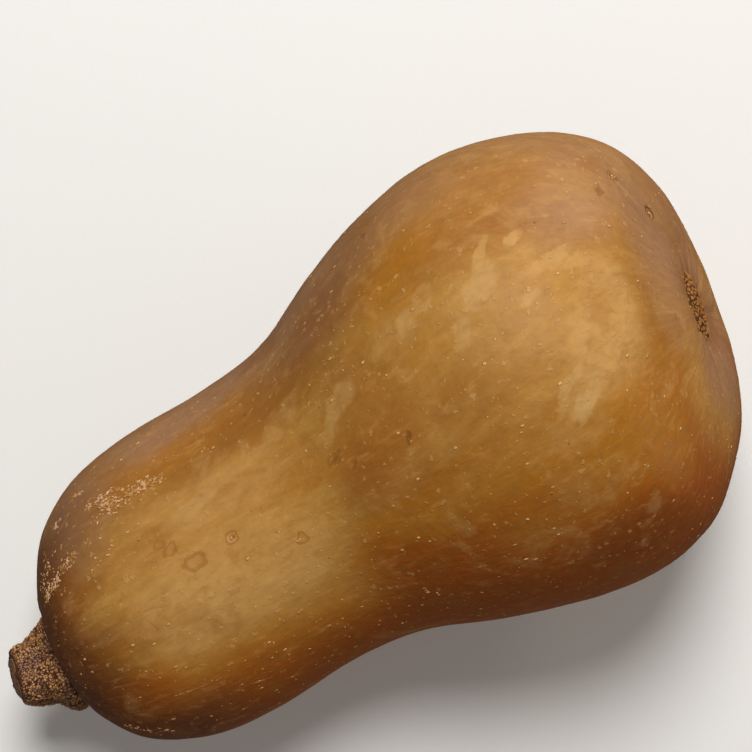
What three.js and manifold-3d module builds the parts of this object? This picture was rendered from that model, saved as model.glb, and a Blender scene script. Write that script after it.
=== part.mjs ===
// A whole butternut squash lying on its side: the fruit and the stub of its stem.
// Millimetres, +Z up. The stem end points to -X and the blossom end to +X.
import * as THREE from 'three';
import { NURBSCurve } from 'three/addons/curves/NURBSCurve.js';
import { mergeVertices } from 'three/addons/utils/BufferGeometryUtils.js';
import Module from 'manifold-3d';

// ---- driving dimensions ----------------------------------------------------

const SOCKET_RADIUS = 12.5;    // flat floor of the hollow that the stem grows from
const SOCKET_DEPTH = 1.5;
const STEM_LENGTH = 16.2;      // from the socket floor to the cut end
const STEM_GAP = 0.3;          // clearance between the stem's foot and the socket floor
const REST_DEPTH = 1.2;        // how far the skin is pressed flat where it lies on a surface

// Half of the fruit's outline: [radius, distance along the core], stem end first.
const FRUIT_OUTLINE = [
  [SOCKET_RADIUS, SOCKET_DEPTH], [17, 0], [28.5, 7], [34, 14.5], [38.5, 26],      // shoulder
  [40.1, 43], [39.8, 65], [42, 84], [49.9, 104],                                  // neck and waist
  [56, 123], [58.6, 142], [56.6, 158], [50.9, 171.7], [40.6, 182],                // bulb
  [30, 185.6], [20, 187.2], [13, 187.1], [7, 186.1], [0, 185.7],                  // blossom dimple
];

// Poles of the core line that the outline is wrapped around. It climbs from the thin
// neck to the middle of the bulb, and its blossom end turns up and a little aside.
const CORE_LENGTH = 189;
const CORE_POLES = [
  [-103, 0, 35.6], [-87, -1.2, 36.9], [-56, 0.9, 39.7], [-9, -0.9, 47.3],
  [36.2, 0, 58], [65, -1.9, 65.6], [79, -5.5, 73.2],
];
const BLOSSOM_ASIDE = -3.6;    // the dimple sits off the core line, towards -Y

// Half of the stem's outline: [radius, height over the socket floor].
const STEM_OUTLINE = [
  [9.4, STEM_GAP], [11.2, 2], [12.2, 3.8], [11.6, 5.6], [9.8, 8], [8.5, 10.6], [7.5, 13.2], [6.9, 15.2],
  [6, STEM_LENGTH],
];
const STEM_FOOT_ASIDE = -1.5;                // the foot's middle off the socket's axis, towards -Y
const STEM_LEAN = { aside: 1.8, up: 3.8 };   // how far the cut end stands off the foot's axis
const STEM_RIDGES = 5;

const AROUND = 64;             // facets around the fruit
const STEM_AROUND = 40;

// ---- helpers ---------------------------------------------------------------

const smoothstep = (from, to, value) => THREE.MathUtils.smoothstep(value, from, to);

// A turned body from the axis, out along a smooth outline and back to the axis.
function turned(outline, stepsPerPoint, around) {
  const curve = new THREE.SplineCurve(outline.map(([radius, along]) => new THREE.Vector2(radius, along)));
  const profile = curve.getPoints(stepsPerPoint * (outline.length - 1));
  const first = profile[0];
  const last = profile[profile.length - 1];
  if (first.x > 0) profile.unshift(new THREE.Vector2(0, first.y));
  if (last.x > 0) profile.push(new THREE.Vector2(0, last.y));
  else last.x = 0;
  return new THREE.LatheGeometry(profile, around);
}

// Wraps a turned body around a core line: its own axis follows the line.
// swell(along, angle) scales the radius to raise ridges and folds, and drift(along,
// radius) moves a ring sideways.
function wrapAround(geometry, core, length, swell, drift = () => 0) {
  const position = geometry.attributes.position;
  const ahead = new THREE.Vector3();
  const side = new THREE.Vector3();
  const up = new THREE.Vector3();
  for (let i = 0; i < position.count; i += 1) {
    const along = position.getY(i);
    const angle = Math.atan2(position.getX(i), position.getZ(i));
    const plain = Math.hypot(position.getX(i), position.getZ(i));
    const radius = plain * swell(along, angle);
    const share = THREE.MathUtils.clamp(along / length, 0, 1);
    ahead.copy(core.getTangent(share));
    side.set(0, 0, 1).cross(ahead).normalize();
    up.crossVectors(ahead, side);
    const point = core.getPoint(share).addScaledVector(ahead, along - share * length);
    point.addScaledVector(up, radius * Math.sin(angle));
    point.addScaledVector(side, radius * Math.cos(angle) + drift(along, plain));
    position.setXYZ(i, point.x, point.y, point.z);
  }
  return geometry;
}

const wasm = await Module();
wasm.setup();

function toSolid(geometry) {
  const bare = geometry.clone();
  bare.deleteAttribute('normal');
  bare.deleteAttribute('uv');
  const merged = mergeVertices(bare, 1e-4);
  const triangles = [];
  for (let i = 0; i < merged.index.count; i += 3) {
    const [a, b, c] = [0, 1, 2].map((k) => merged.index.getX(i + k));
    if (a !== b && b !== c && c !== a) triangles.push(a, b, c);
  }
  return new wasm.Manifold(new wasm.Mesh({
    numProp: 3,
    vertProperties: new Float32Array(merged.attributes.position.array),
    triVerts: new Uint32Array(triangles),
  }));
}

function toGeometry(solid) {
  const mesh = solid.getMesh();
  const geometry = new THREE.BufferGeometry();
  geometry.setAttribute('position', new THREE.BufferAttribute(new Float32Array(mesh.vertProperties), 3));
  geometry.setIndex(new THREE.BufferAttribute(new Uint32Array(mesh.triVerts), 1));
  geometry.computeVertexNormals();
  return geometry;
}

// ---- fruit -----------------------------------------------------------------

const fruitCore = new NURBSCurve(
  3,
  [0, 0, 0, 0, 0.25, 0.5, 0.75, 1, 1, 1, 1],
  CORE_POLES.map(([x, y, z]) => new THREE.Vector4(x, y, z, 1)),
);

// Faint ribs gather the skin around the stem socket and around the blossom dimple.
function fruitSwell(along, angle) {
  const atStem = 1 - smoothstep(4, 40, along);
  const atBlossom = smoothstep(150, 183, along);
  return 1 + 0.012 * atStem * Math.cos(5 * angle + 0.6) + 0.007 * atBlossom * Math.cos(10 * angle + 0.3);
}

// Only the rings close around the dimple are moved aside with it.
function blossomDrift(along, radius) {
  return along < CORE_LENGTH / 2 ? 0 : BLOSSOM_ASIDE * (1 - smoothstep(10, 42, radius));
}

function makeFruit() {
  const turnedFruit = turned(FRUIT_OUTLINE, 3, AROUND);
  const body = wrapAround(turnedFruit, fruitCore, CORE_LENGTH, fruitSwell, blossomDrift);
  body.computeBoundingBox();
  const floor = new THREE.BoxGeometry(400, 400, 40);
  floor.translate(0, 0, body.boundingBox.min.z + REST_DEPTH - 20);
  return toGeometry(toSolid(body).subtract(toSolid(floor)));
}

// ---- stem ------------------------------------------------------------------

function makeStem() {
  const along = SOCKET_DEPTH / CORE_LENGTH;
  const aside = new THREE.Vector3(0, 1, 0);
  const foot = fruitCore.getPoint(along).addScaledVector(aside, STEM_FOOT_ASIDE);
  const out = fruitCore.getTangent(along).negate();
  const up = new THREE.Vector3().crossVectors(aside, out).normalize();
  const end = foot.clone().addScaledVector(out, STEM_LENGTH);
  end.addScaledVector(aside, STEM_LEAN.aside).addScaledVector(up, STEM_LEAN.up);
  const knee = foot.clone().addScaledVector(out, STEM_LENGTH / 2);
  const core = new THREE.QuadraticBezierCurve3(foot, knee, end);

  // Five ridges run out to the cut end, and flare where the foot spreads on the fruit.
  const swell = (height, angle) => {
    const flare = 0.11 - 0.05 * smoothstep(2, STEM_LENGTH, height);
    return 1 + flare * Math.cos(STEM_RIDGES * angle + 1.4) + 0.03 * Math.cos(2 * angle - 0.5);
  };
  return wrapAround(turned(STEM_OUTLINE, 3, STEM_AROUND), core, STEM_LENGTH, swell);
}

// ---- assembly --------------------------------------------------------------

function part(name, geometry, color, roughness) {
  const mesh = new THREE.Mesh(geometry, new THREE.MeshStandardMaterial({ color, roughness, metalness: 0 }));
  mesh.name = name;
  return mesh;
}

const squash = new THREE.Group();
squash.add(part('fruit', makeFruit(), 0xb98646, 0.5));
squash.add(part('stem', makeStem(), 0x7a5638, 0.9));

// The origin is the middle of the squash's footprint, on the surface that it lies on.
const box = new THREE.Box3().setFromObject(squash, true);
const middle = box.getCenter(new THREE.Vector3());
squash.position.set(-middle.x, -middle.y, -box.min.z);

export default squash;
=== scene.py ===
import math
import random

import bmesh
import bpy
from bpy.props import FloatProperty, FloatVectorProperty, IntProperty, PointerProperty
from mathutils import Matrix, Vector, noise


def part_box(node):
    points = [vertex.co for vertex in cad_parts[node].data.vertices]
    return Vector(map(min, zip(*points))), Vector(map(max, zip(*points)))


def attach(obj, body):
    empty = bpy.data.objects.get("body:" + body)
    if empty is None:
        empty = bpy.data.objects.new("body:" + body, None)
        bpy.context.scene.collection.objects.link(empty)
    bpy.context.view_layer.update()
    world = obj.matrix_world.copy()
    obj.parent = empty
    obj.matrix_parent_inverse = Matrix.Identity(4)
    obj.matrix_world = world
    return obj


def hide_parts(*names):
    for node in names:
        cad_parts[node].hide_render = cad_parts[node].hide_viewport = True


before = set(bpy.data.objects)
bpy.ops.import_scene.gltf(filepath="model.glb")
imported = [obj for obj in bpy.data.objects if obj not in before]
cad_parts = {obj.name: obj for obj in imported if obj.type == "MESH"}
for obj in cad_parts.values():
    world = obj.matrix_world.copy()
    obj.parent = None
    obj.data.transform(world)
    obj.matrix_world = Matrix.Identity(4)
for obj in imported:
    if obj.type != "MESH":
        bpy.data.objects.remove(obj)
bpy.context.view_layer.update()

bl_info = {
    "name": "Butternut squash",
    "version": (1, 0, 0),
    "blender": (4, 5, 0),
    "location": "3D View > Sidebar > Squash",
    "description": "A butternut squash lying on its side: skin, scars, specks and stem stub",
    "category": "Add Mesh",
}

MM = 0.001
UP = Vector((0, 0, 1))

# Half of the fruit's outline, stem end first: radius and distance along the core, in mm.
FRUIT_OUTLINE = [
    (12.5, 1.5), (17, 0), (28.5, 7), (34, 14.5), (38.5, 26), (40.1, 43), (39.8, 65), (42, 84),
    (49.9, 104), (56, 123), (58.6, 142), (56.6, 158), (50.9, 171.7), (40.6, 182), (30, 185.6),
    (20, 187.2), (13, 187.1), (7, 186.1), (0, 185.7),
]
# Poles of the cubic core line that the rings stand on, in mm.
CORE_POLES = [
    (-88.66, 0.63, 35.12), (-72.66, -0.57, 36.42), (-41.66, 1.53, 39.22), (5.34, -0.27, 46.82),
    (50.54, 0.63, 57.52), (79.34, -1.27, 65.12), (93.34, -4.87, 72.72),
]
CORE_KNOTS = (0, 0, 0, 0, 0.25, 0.5, 0.75, 1, 1, 1, 1)
CORE_LENGTH = 189.0
# How far the blossom end stands aside and lower than the core line, in mm, and the ring radii
# between which that fades away.
BLOSSOM_ASIDE = -3.6
BLOSSOM_DROP = 4.2
BLOSSOM_FADE = (10, 42)

# Half of the stem's outline: radius and height over the socket floor, in mm.
STEM_OUTLINE = [
    (9.4, 0.3), (11.2, 2), (12.2, 3.8), (11.6, 5.6), (9.8, 8), (8.5, 10.6), (7.5, 13.2),
    (6.9, 15.2), (6, 16.2),
]
STEM_ALONG = 1.5
STEM_LENGTH = 16.2
STEM_FOOT_ASIDE = -1.5
STEM_LEAN = (1.8, 3.8)
STEM_AROUND = 84
STEM_RINGS = 52

# The middle of the blossom scar and the way it faces.
DIMPLE = Vector((91.9, -7.4, 67.2)) * MM
DIMPLE_OUT = Vector((0.915, -0.225, 0.335)).normalized()
# The hollow under it and the low brow over it: the middle, and the distances from there
# between which they fade away.
HOLLOW = Vector((97.0, -7.0, 59.5)) * MM
HOLLOW_FADE = (0.004, 0.030)
BROW = Vector((86.5, -4.0, 79.0)) * MM
BROW_FADE = (0.002, 0.022)
# The middle of the stem socket's floor, and the way it faces.
SOCKET = Vector((-87.2, 0.5, 35.2)) * MM
SOCKET_OUT = Vector((-0.994, 0.075, -0.081)).normalized()


# ---- sizes and colours ---------------------------------------------------------------


def length(name, description, default):
    return FloatProperty(
        name=name, description=description, default=default, min=0.0, unit="LENGTH", precision=5
    )


def colour(name, description, default):
    return FloatVectorProperty(
        name=name, description=description, default=default,
        size=3, min=0.0, max=1.0, subtype="COLOR",
    )


def count(name, description, default):
    return IntProperty(name=name, description=description, default=default, min=1)


class SquashSizes(bpy.types.PropertyGroup):
    """Sizes of the squash's pieces"""

    skin_around: count("Skin facets", "Facets around the skin before it is smoothed", 80)
    skin_rings: count("Skin rings", "Rings from the stem to the blossom end", 64)
    lump_height: length("Lumps", "How far the broad lumps of the skin rise", 0.0010)
    ripple_height: length("Ripples", "How far the small ripples of the skin rise", 0.00022)
    pucker_depth: length("Puckers", "Depth of the folds around both ends", 0.0006)
    hollow_depth: length("Hollow", "How far the skin sinks under the blossom scar", 0.0012)
    brow_height: length("Brow", "How far the skin rises over the blossom scar", 0.0013)
    scar_width: length("Blossom scar", "Width of the corky scar at the blossom end", 0.0205)
    scar_cell: length("Scar cells", "Width of one cork island of the blossom scar", 0.00150)
    speck_count: count("Specks", "Raised pale specks on the skin", 1300)
    speck_length: length("Speck length", "Length of a middling raised speck", 0.00064)
    grain_length: length("Russet grain", "Length of one grain of the russet bands", 0.00080)
    stem_grain: length("Stem grain", "Spacing of the cork grains on the stem", 0.00074)
    stem_grain_height: length("Stem grain height", "How far the stem's cork grains rise", 0.00042)
    floor_width: length("Floor", "Width of the flat part of the floor", 2.6)


class SquashColours(bpy.types.PropertyGroup):
    """Colours of the squash's finishes"""

    tan: colour("Tan", "The skin's main colour on its upper side", (0.51, 0.255, 0.053))
    orange: colour("Orange", "Deeper streaks and bands of the skin", (0.365, 0.145, 0.022))
    gold: colour("Gold", "Saturated patches of the skin", (0.44, 0.168, 0.010))
    # This deep tone is painted shade: it darkens the flank turned from the key light.
    shaded_amber: colour("Amber", "Deep flank of the skin", (0.38, 0.090, 0.002))
    pale: colour("Pale", "Waxy streaks and blotches", (0.60, 0.335, 0.108))
    # This colour paints the palest streaks of a highlight on the bulb's top.
    sheen_cream: colour("Cream", "The palest waxy streaks", (0.72, 0.47, 0.19))
    # Mauve serves bruised and waxy grey patches, and a painted reflection on the flank toward the
    # key light.
    mauve: colour("Mauve", "Bruised and waxy grey patches", (0.40, 0.205, 0.105))
    # This colour serves the skin's dark marks, and painted shade beside the stem and in hollows.
    brown_and_shade: colour("Brown", "Skin beside the stem and in hollows", (0.150, 0.042, 0.010))
    speck: colour("Specks", "Raised specks", (0.76, 0.47, 0.17))
    stain: colour("Stains", "Healed ring stains", (0.34, 0.115, 0.014))
    russet: colour("Russet", "Cork grains of the russet bands", (0.80, 0.48, 0.285))
    scar_dark: colour("Scar lines", "Dark net of the blossom scar", (0.090, 0.026, 0.007))
    scar_gold: colour("Scar islands", "Cork islands of the blossom scar", (0.46, 0.22, 0.060))
    stem_dark: colour("Stem ground", "Dark cork between the stem's grains", (0.080, 0.024, 0.008))
    stem_grain: colour("Stem grains", "Pale cork grains of the stem", (0.74, 0.36, 0.125))
    stem_cut: colour("Cut face", "Dried cut face of the stem", (0.34, 0.165, 0.085))
    floor: colour("Floor", "The plain floor", (0.93, 0.93, 0.93))


# ---- lines and rings ------------------------------------------------------------------


def core_point(share):
    """A point of the core line, in metres; share runs from 0 at the stem to 1."""
    span = min(int(share * 4), 3) + 3
    ladder = [Vector(CORE_POLES[span - 3 + i]) for i in range(4)]
    for level in range(1, 4):
        for i in range(3, level - 1, -1):
            low = CORE_KNOTS[span - 3 + i]
            high = CORE_KNOTS[span + 1 + i - level]
            ladder[i] = ladder[i - 1].lerp(ladder[i], (share - low) / (high - low))
    return ladder[3] * MM


def core_ahead(share):
    step = 0.001
    return (core_point(min(share + step, 1.0)) - core_point(max(share - step, 0.0))).normalized()


def smooth_line(points, steps):
    """Points on a smooth line through the given points, ends repeated."""
    last = len(points) - 1
    made = []
    for k in range(last * steps + 1):
        i, t = divmod(k, steps)
        if i == last:
            i, t = last - 1, steps
        t /= steps
        p0, p1, p2, p3 = (Vector(points[min(max(i + j, 0), last)]) for j in (-1, 0, 1, 2))
        v1, v2 = (p2 - p0) / 2, (p3 - p1) / 2
        cubic = 2 * p1 - 2 * p2 + v1 + v2
        square = 3 * p2 - 3 * p1 - 2 * v1 - v2
        made.append(cubic * t**3 + square * t**2 + v1 * t + p1)
    return made


def even_points(line, parts):
    """The line's points at even steps of its length, both ends included."""
    runs = [0.0]
    for a, b in zip(line, line[1:]):
        runs.append(runs[-1] + (b - a).length)
    made, i = [], 0
    for k in range(parts + 1):
        want = runs[-1] * k / parts
        while i < len(runs) - 2 and runs[i + 1] < want:
            i += 1
        share = (want - runs[i]) / max(runs[i + 1] - runs[i], 1e-9)
        made.append(line[i].lerp(line[i + 1], min(share, 1.0)))
    return made


def ease(low, high, value):
    """0 up to low, 1 from high on, and a smooth slope between them."""
    t = min(max((value - low) / (high - low), 0.0), 1.0)
    return t * t * (3 - 2 * t)


def fruit_rings(parts):
    """Centre, direction and radius of each ring of the skin, in metres, from pole to pole."""
    line = smooth_line(FRUIT_OUTLINE, 12)
    line.insert(0, Vector((0.0, line[0].y)))
    rings = []
    for radius, along in even_points(line, parts):
        share = min(max(along / CORE_LENGTH, 0.0), 1.0)
        ahead = core_ahead(share)
        side = UP.cross(ahead).normalized()
        near_end = 1 - ease(*BLOSSOM_FADE, radius) if along > CORE_LENGTH / 2 else 0.0
        drift = side * BLOSSOM_ASIDE - ahead.cross(side) * BLOSSOM_DROP
        rings.append((core_point(share) + drift * near_end * MM, ahead, max(radius, 0.0) * MM))
    return rings


def stem_rings(parts):
    """The same for the stem, from its hidden foot to its cut end."""
    share = STEM_ALONG / CORE_LENGTH
    aside = Vector((0, 1, 0))
    out = -core_ahead(share)
    up = aside.cross(out).normalized()
    foot = core_point(share) + aside * STEM_FOOT_ASIDE * MM
    knee = foot + out * STEM_LENGTH * MM / 2
    end = foot + out * STEM_LENGTH * MM + (aside * STEM_LEAN[0] + up * STEM_LEAN[1]) * MM
    line = smooth_line(STEM_OUTLINE, 8)
    line.insert(0, Vector((0.0, line[0].y)))
    line.append(Vector((0.0, line[-1].y)))
    rings = []
    for radius, height in even_points(line, parts):
        t = height / STEM_LENGTH
        centre = foot * (1 - t) ** 2 + knee * 2 * t * (1 - t) + end * t * t
        ahead = ((knee - foot) * (1 - t) + (end - knee) * t).normalized()
        rings.append((centre, ahead, radius * MM))
    return rings


# ---- modelling ------------------------------------------------------------------------


def pick_nothing():
    """Leaves the next primitive the only thing selected."""
    bpy.ops.object.select_all(action="DESELECT")


def pick_only(*pieces):
    pick_nothing()
    for piece in pieces:
        piece.select_set(True)
    bpy.context.view_layer.objects.active = pieces[0]


def named(name):
    """Names the piece that has just been added."""
    piece = bpy.context.active_object
    piece.name = piece.data.name = name
    return piece


def settle(piece):
    """Puts the piece's place, turn and scale into its mesh."""
    pick_only(piece)
    bpy.ops.object.transform_apply(location=True, rotation=True, scale=True)


def finish_with(piece, kind, **settings):
    """Adds a modifier and applies it."""
    modifier = piece.modifiers.new(kind.title(), kind)
    for key, value in settings.items():
        setattr(modifier, key, value)
    pick_only(piece)
    bpy.ops.object.modifier_apply(modifier=modifier.name)


def choose(piece, test, kind="VERT"):
    """Selects, in edit mode, only the points or edges that a test picks."""
    bpy.ops.mesh.select_mode(type=kind)
    bpy.ops.mesh.select_all(action="DESELECT")
    edit = bmesh.from_edit_mesh(piece.data)
    for item in edit.verts if kind == "VERT" else edit.edges:
        item.select_set(test(item))
    bmesh.update_edit_mesh(piece.data)


def shape_rings(ball, centre, size, rings):
    """Gives each ring of an upright ball, from its lower pole up, its place, tilt and radius."""
    parts = len(rings) - 1
    members = [set() for _ in rings]
    for vertex in ball.data.vertices:
        height = min(max((vertex.co.z - centre.z) / size, -1.0), 1.0)
        members[round(math.acos(-height) / math.pi * parts)].add(vertex.index)
    pick_only(ball)
    bpy.ops.object.mode_set(mode="EDIT")
    for k, (place, ahead, radius) in enumerate(rings):
        choose(ball, lambda vertex: vertex.index in members[k])
        middle = centre - Vector((0, 0, size * math.cos(math.pi * k / parts)))
        if 0 < k < parts:
            grow = max(radius, 1e-5) / (size * math.sin(math.pi * k / parts))
            bpy.ops.transform.resize(value=(grow, grow, 1), center_override=middle)
            tilt = math.acos(min(max(ahead.z, -1.0), 1.0))
            yaw = math.atan2(ahead.y, ahead.x)
            bpy.ops.transform.rotate(value=-tilt, orient_axis="Y", center_override=middle)
            bpy.ops.transform.rotate(value=-yaw, orient_axis="Z", center_override=middle)
        bpy.ops.transform.translate(value=place - middle)
    bpy.ops.object.mode_set(mode="OBJECT")


def wrapped_ball(name, node, box, around, rings):
    """A ball shaped ring by ring, drawn onto a CAD piece and smoothed.

    Its UV map is named OFBake.
    """
    low, high = (Vector(corner) for corner in box)
    centre, size = (low + high) / 2, (high.z - low.z) / 2
    pick_nothing()
    bpy.ops.mesh.primitive_uv_sphere_add(
        segments=around, ring_count=len(rings) - 1, radius=size, location=centre
    )
    ball = named(name)
    ball.data.uv_layers[0].name = "OFBake"
    settle(ball)
    shape_rings(ball, centre, size, rings)
    finish_with(ball, "SHRINKWRAP", target=node, wrap_method="NEAREST_SURFACEPOINT")
    finish_with(ball, "SUBSURF", levels=2, render_levels=2)
    return ball


def relief(piece, name, height, share_at):
    """Raises the surface along its normals by height times what share_at gives at a point."""
    group = piece.vertex_groups.new(name=name)
    for vertex in piece.data.vertices:
        share = share_at(vertex.co)
        if share > 0.002:
            group.add([vertex.index], min(share, 1.0), "REPLACE")
    finish_with(
        piece, "DISPLACE", strength=height, mid_level=0.0, vertex_group=name, direction="NORMAL"
    )
    piece.vertex_groups.remove(piece.vertex_groups[name])


def lumps(piece, name, size, depth, height):
    """Pushes the surface out and in by a cloud pattern."""
    texture = bpy.data.textures.new(name, "CLOUDS")
    texture.noise_scale = size
    texture.noise_depth = depth
    finish_with(
        piece, "DISPLACE", texture=texture, strength=height, mid_level=0.5,
        texture_coords="LOCAL", direction="NORMAL",
    )


def cell_depth(point, size, pitch, apart, reach):
    """How deep inside a cell of an uneven net a point lies; 0 on the lines between cells."""
    wander = Vector((noise.noise(point * pitch), noise.noise(point * pitch + apart), 0)) * reach
    near, _ = noise.voronoi((point + wander) / size)
    return near[1] - near[0]


def mark_points(piece, name, value_at):
    """Keeps a value at every point of the mesh, for the material to read."""
    marks = piece.data.attributes.new(name, "FLOAT", "POINT")
    marks.data.foreach_set("value", [value_at(vertex.co) for vertex in piece.data.vertices])


def rest_flat(piece):
    """Flattens what would sink into the surface that the squash lies on."""
    pick_only(piece)
    bpy.ops.object.mode_set(mode="EDIT")
    choose(piece, lambda vertex: vertex.co.z < 0.0)
    bpy.ops.transform.resize(value=(1, 1, 0), center_override=(0, 0, 0))
    bpy.ops.object.mode_set(mode="OBJECT")


def facing(out, along):
    """A turn whose Z is the way out and whose X lies near the way along."""
    x = (along - out * along.dot(out)).normalized()
    return Matrix((x, out.cross(x), out)).transposed().to_4x4()


def on_skin(skin, point):
    """The skin's nearest point and its normal."""
    found, place, out, _ = skin.closest_point_on_mesh(point)
    if not found:
        raise RuntimeError("no skin near a mark")
    return place, out


def scatter(rng, reach):
    """A random shift that seldom goes much beyond the given reach."""
    return Vector([rng.gauss(0, reach) for _ in range(3)])


def uneven(rng, size, *spans):
    """One scale for each span: the size times a random share within the span."""
    return tuple(size * rng.uniform(*span) for span in spans)


def strew(name, seed_piece, spots, material):
    """Copies one small piece to every spot, joins the copies and finishes what comes of them."""
    copies = []
    for place, turn, scale in spots:
        copy = seed_piece.copy()
        copy.data = seed_piece.data.copy()
        copy.matrix_world = Matrix.Translation(place) @ turn @ Matrix.Diagonal((*scale, 1.0))
        bpy.context.collection.objects.link(copy)
        copies.append(copy)
    pick_only(*copies)
    bpy.ops.object.join()
    piece = named(name)
    settle(piece)
    bpy.data.objects.remove(seed_piece)
    finish_piece(piece, material, "fruit_skin")


def speck_ball(around, rings):
    """A low bead, one unit long, with a narrower, flatter foot."""
    pick_nothing()
    bpy.ops.mesh.primitive_uv_sphere_add(segments=around, ring_count=rings, radius=0.5)
    bead = named("bead")
    bpy.ops.object.mode_set(mode="EDIT")
    choose(bead, lambda vertex: vertex.co.z < -0.1)
    bpy.ops.transform.resize(value=(0.7, 0.7, 0.5), center_override=(0, 0, 0))
    bpy.ops.object.mode_set(mode="OBJECT")
    bpy.ops.object.shade_smooth()
    return bead


def finish_piece(piece, material, slot, *nodes):
    """Smooth shading, material and body of a finished piece; the slot is not used."""
    pick_only(piece)
    bpy.ops.object.shade_smooth()
    piece.data.materials.clear()
    piece.data.materials.append(material)
    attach(piece, "root")
    if nodes:
        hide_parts(*nodes)


# ---- materials ------------------------------------------------------------------------


class Recipe:
    """A material's nodes, put down by calls that hand back sockets."""

    def __init__(self, name):
        self.material = bpy.data.materials.new(name)
        self.material.use_nodes = True
        self.tree = self.material.node_tree
        self.tree.nodes.clear()

    def put(self, kind, inputs, **settings):
        """Puts down a node; an input is either another node's socket or a constant."""
        node = self.tree.nodes.new(kind)
        for key, value in settings.items():
            setattr(node, key, value)
        for key, value in inputs.items():
            if isinstance(value, bpy.types.NodeSocket):
                self.tree.links.new(value, node.inputs[key])
            else:
                node.inputs[key].default_value = value
        return node

    def object_place(self):
        return self.put("ShaderNodeTexCoord", {}).outputs["Object"]

    def math(self, operation, a, b=0.0):
        return self.put("ShaderNodeMath", {0: a, 1: b}, operation=operation).outputs[0]

    def vector_math(self, operation, inputs):
        return self.put("ShaderNodeVectorMath", inputs, operation=operation).outputs[0]

    def times(self, a, b):
        return self.math("MULTIPLY", a, b)

    def plus(self, a, b):
        return self.math("ADD", a, b)

    def blend(self, share, under, over, mode="MIX"):
        inputs = {0: share}
        for key, value in ((6, under), (7, over)):
            inputs[key] = value if isinstance(value, bpy.types.NodeSocket) else (*value, 1.0)
        settings = {"data_type": "RGBA", "blend_type": mode, "clamp_factor": True}
        return self.put("ShaderNodeMix", inputs, **settings).outputs[2]

    def window(self, value, low, high, to_low=0.0, to_high=1.0):
        """A smooth slope from to_low, at the value low, to to_high, at the value high."""
        inputs = {"Value": value, "From Min": low, "From Max": high}
        inputs.update({"To Min": to_low, "To Max": to_high})
        return self.put("ShaderNodeMapRange", inputs, interpolation_type="SMOOTHSTEP").outputs[0]

    def noise(self, place, scale, detail=2.0, rough=0.5, bend=0.0):
        inputs = {"Vector": place, "Scale": scale, "Detail": detail}
        inputs.update({"Roughness": rough, "Distortion": bend})
        return self.put("ShaderNodeTexNoise", inputs).outputs[0]

    def shaken(self, place, scale, reach):
        """The place moved by a smooth noise, so that what reads it gets ragged edges."""
        inputs = {"Vector": place, "Scale": scale, "Detail": 4.0}
        shift = self.put("ShaderNodeTexNoise", inputs).outputs[1]
        shift = self.vector_math("SUBTRACT", {0: shift, 1: (0.5, 0.5, 0.5)})
        shift = self.vector_math("SCALE", {0: shift, "Scale": reach})
        return self.vector_math("ADD", {0: place, 1: shift})

    def cells(self, place, scale):
        """Distance to the middle of the nearest cell, and two random numbers of that cell."""
        node = self.put("ShaderNodeTexVoronoi", {"Vector": place, "Scale": scale})
        tint = self.put("ShaderNodeSeparateColor", {"Color": node.outputs["Color"]})
        return node.outputs["Distance"], tint.outputs[0], tint.outputs[1]

    def dots(self, place, scale, size, share):
        """Uneven dots: scale sets how close they stand, size their reach, share how many stay."""
        near, chance, grown = self.cells(place, scale)
        reach = self.plus(self.times(grown, size * 0.7), size * 0.3)
        dot = self.window(self.math("DIVIDE", near, reach), 1.0, 0.55)
        return self.times(dot, self.math("LESS_THAN", chance, share))

    def reach(self, place, centre, radii, turn):
        """Falls from 1 in the middle of an ellipsoid to 0 at its rim.

        Its centre and radii are in millimetres, its turn about Z in degrees.
        """
        inputs = {
            "Vector": place,
            "Location": Vector(centre) * MM,
            "Rotation": (0.0, 0.0, math.radians(turn)),
            "Scale": Vector(radii) * MM,
        }
        moved = self.put("ShaderNodeMapping", inputs, vector_type="TEXTURE").outputs[0]
        ball = self.put("ShaderNodeTexGradient", {"Vector": moved}, gradient_type="SPHERICAL")
        return ball.outputs[1]

    def patch(self, place, centre, radii, turn=0.0):
        return self.window(self.reach(place, centre, radii, turn), 0.0, 0.75)

    def ring(self, place, centre, radii, turn=0.0):
        """1 on the rim of an ellipsoid, 0 in its middle and outside it."""
        inside = self.reach(place, centre, radii, turn)
        outer, inner = self.window(inside, 0.02, 0.22), self.window(inside, 0.60, 0.32)
        return self.times(outer, inner)

    def bump(self, height, distance, strength=1.0, below=None):
        inputs = {"Height": height, "Distance": distance, "Strength": strength}
        if below is not None:
            inputs["Normal"] = below
        return self.put("ShaderNodeBump", inputs).outputs[0]

    def surface(self, base, rough, normal, **fixed):
        inputs = {"Base Color": base, "Roughness": rough, "Normal": normal, **fixed}
        shader = self.put("ShaderNodeBsdfPrincipled", inputs)
        self.put("ShaderNodeOutputMaterial", {"Surface": shader.outputs[0]})
        return self.material
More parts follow.
